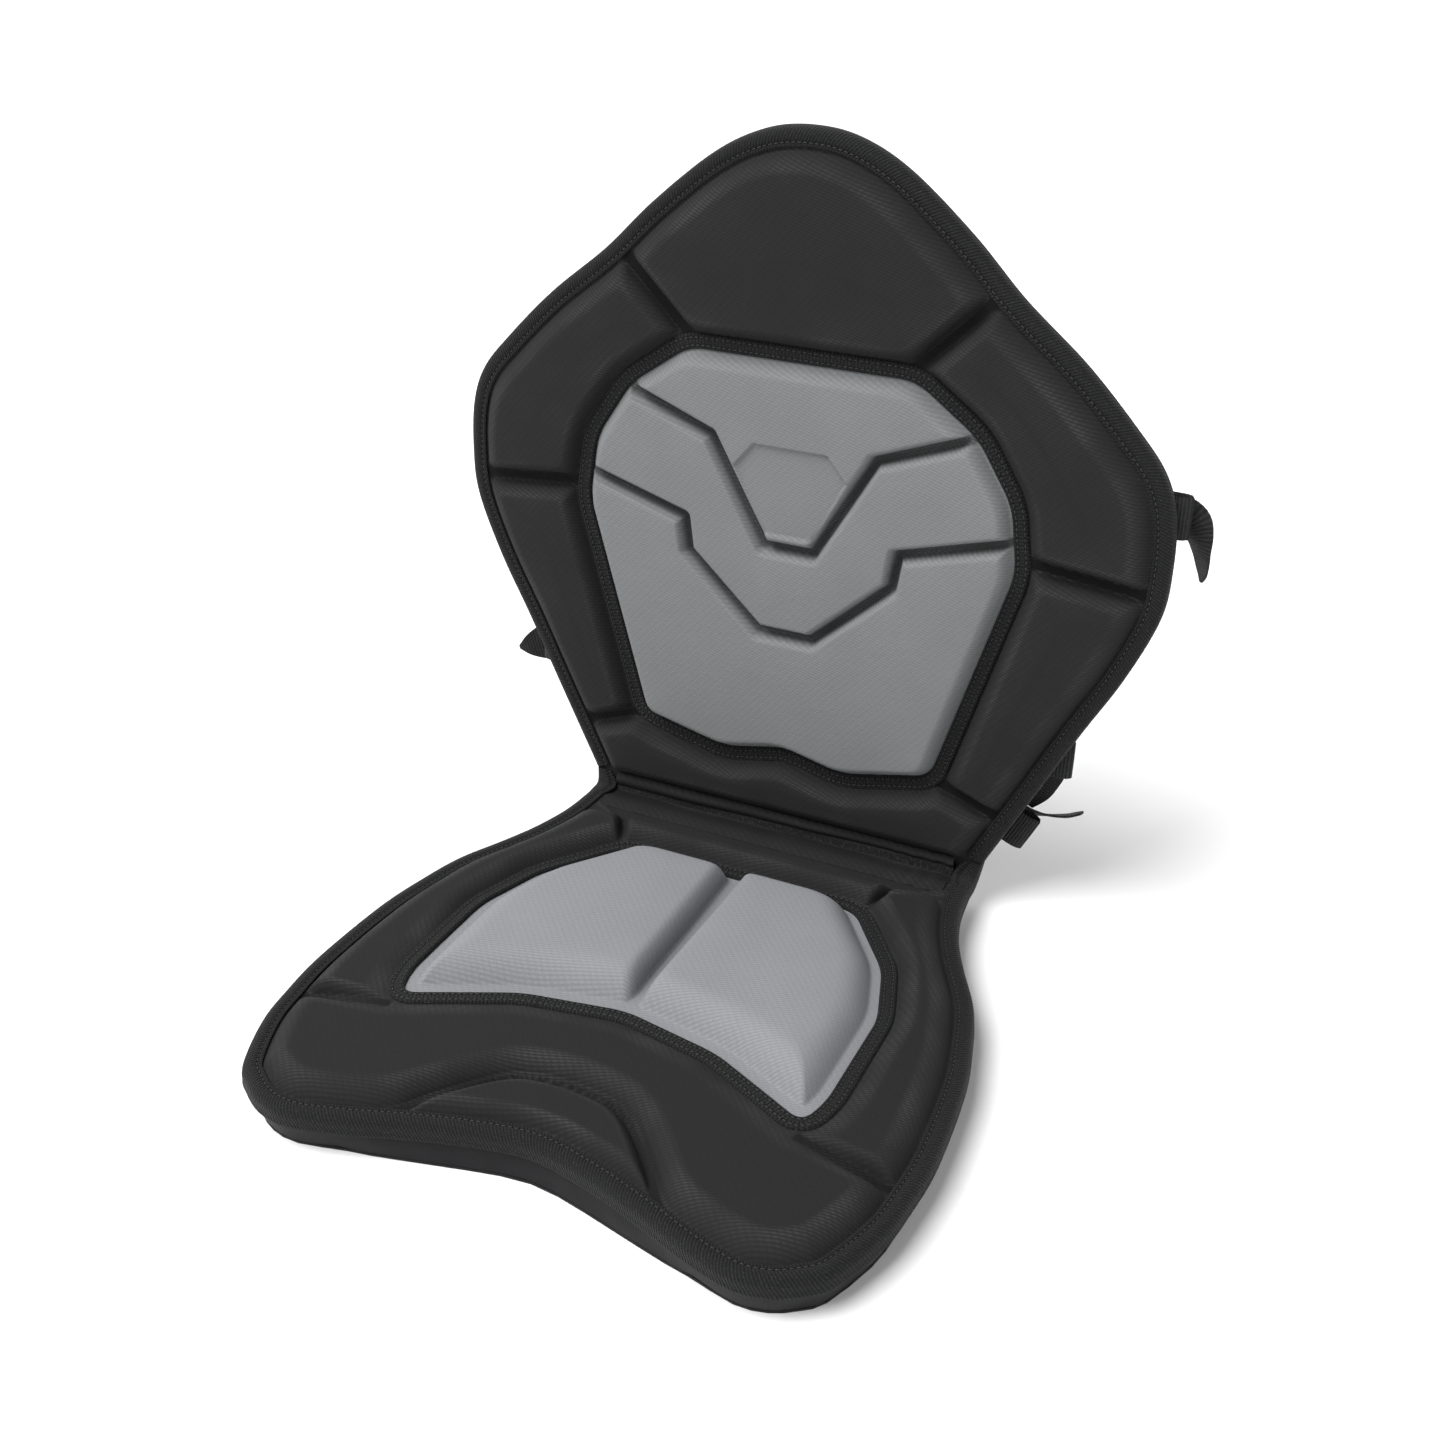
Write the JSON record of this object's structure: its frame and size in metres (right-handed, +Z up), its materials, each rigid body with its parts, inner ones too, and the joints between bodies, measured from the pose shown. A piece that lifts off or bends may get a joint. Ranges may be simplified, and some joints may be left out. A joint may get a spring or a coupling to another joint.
{
  "type": "kayak seat",
  "caption": "Kayak seat with a moulded foam pad and a folding moulded backrest, grey knit insets, bound edges, and webbing straps with ladder locks and hooks behind.",
  "frame": {"origin": "middle of the seat's flat underside, level with the floor it rests on", "axes": "+X to the right in the front view, -Y the front edge of the seat, +Z up"},
  "size_m": [0.4886, 0.3874, 0.4599],
  "materials": {
    "black_knit": "matt laminated knit, moulded",
    "grey_knit": "matt laminated knit, moulded",
    "shell_fabric": "plain woven nylon",
    "binding": "ribbed polyester tape",
    "webbing": "woven webbing",
    "foam": "closed-cell foam",
    "board": "smooth sheet",
    "hardware": "moulded, slightly glossy"
  },
  "bodies": {
    "seat": {"seat_bottom_cover": "shell_fabric", "seat_side_gusset": "shell_fabric", "seat_foam_core": "foam", "seat_top_panel": "black_knit", "seat_edge_binding": "binding", "seat_grey_pad": "grey_knit", "seat_inlay_binding": "binding", "hinge_strip": "binding"},
    "backrest": {"back_front_panel": "black_knit", "back_grey_pad": "grey_knit", "back_inlay_binding": "binding", "back_edge_binding": "binding", "back_stiffener": "board", "back_rear_cover": "shell_fabric", "strap_anchor_upper_right": "webbing", "strap_anchor_upper_left": "webbing", "strap_anchor_lower_right": "webbing", "strap_anchor_lower_left": "webbing", "ladder_lock_upper_right": "hardware", "ladder_lock_upper_left": "hardware", "ladder_lock_lower_right": "hardware", "ladder_lock_lower_left": "hardware", "strap_upper_right": "webbing", "strap_upper_left": "webbing", "strap_lower_right": "webbing", "strap_lower_left": "webbing", "snap_hook_upper_right": "hardware", "snap_hook_upper_left": "hardware", "snap_hook_lower_right": "hardware", "snap_hook_lower_left": "hardware"}
  },
  "joints": [
    {"name": "backrest_fold", "type": "hinge", "parent": "seat", "child": "backrest", "pos_m": [0, 0.18, 0.021], "axis": [1, 0, 0], "range_deg": [-80, 45], "deforming": ["hinge_strip"]}
  ]
}
